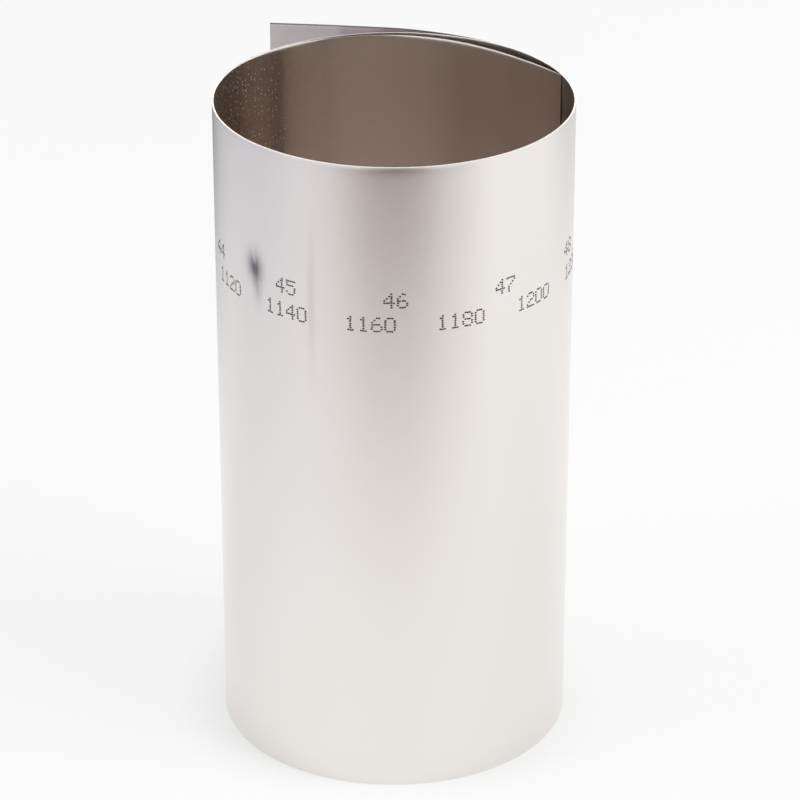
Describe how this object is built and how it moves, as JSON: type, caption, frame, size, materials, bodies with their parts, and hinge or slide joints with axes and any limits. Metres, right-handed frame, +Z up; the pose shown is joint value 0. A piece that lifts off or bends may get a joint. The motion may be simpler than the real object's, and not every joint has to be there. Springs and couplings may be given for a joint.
{
  "type": "shim stock roll",
  "caption": "Roll of thin stainless steel shim sheet standing on its end: tight turns about an open bore, a loose inner lap and a springy outer tail, to be cut into shims.",
  "frame": {"origin": "the roll's axis on the plane of its lower end", "axes": "+Z up along the roll's axis, -Y towards the front that the picture shows, +X to the right seen from the front"},
  "size_m": [0.08, 0.0862, 0.1524],
  "materials": {
    "stainless": "bright cold rolled"
  },
  "bodies": {
    "root": {"shim_sheet": "stainless"}
  },
  "joints": []
}
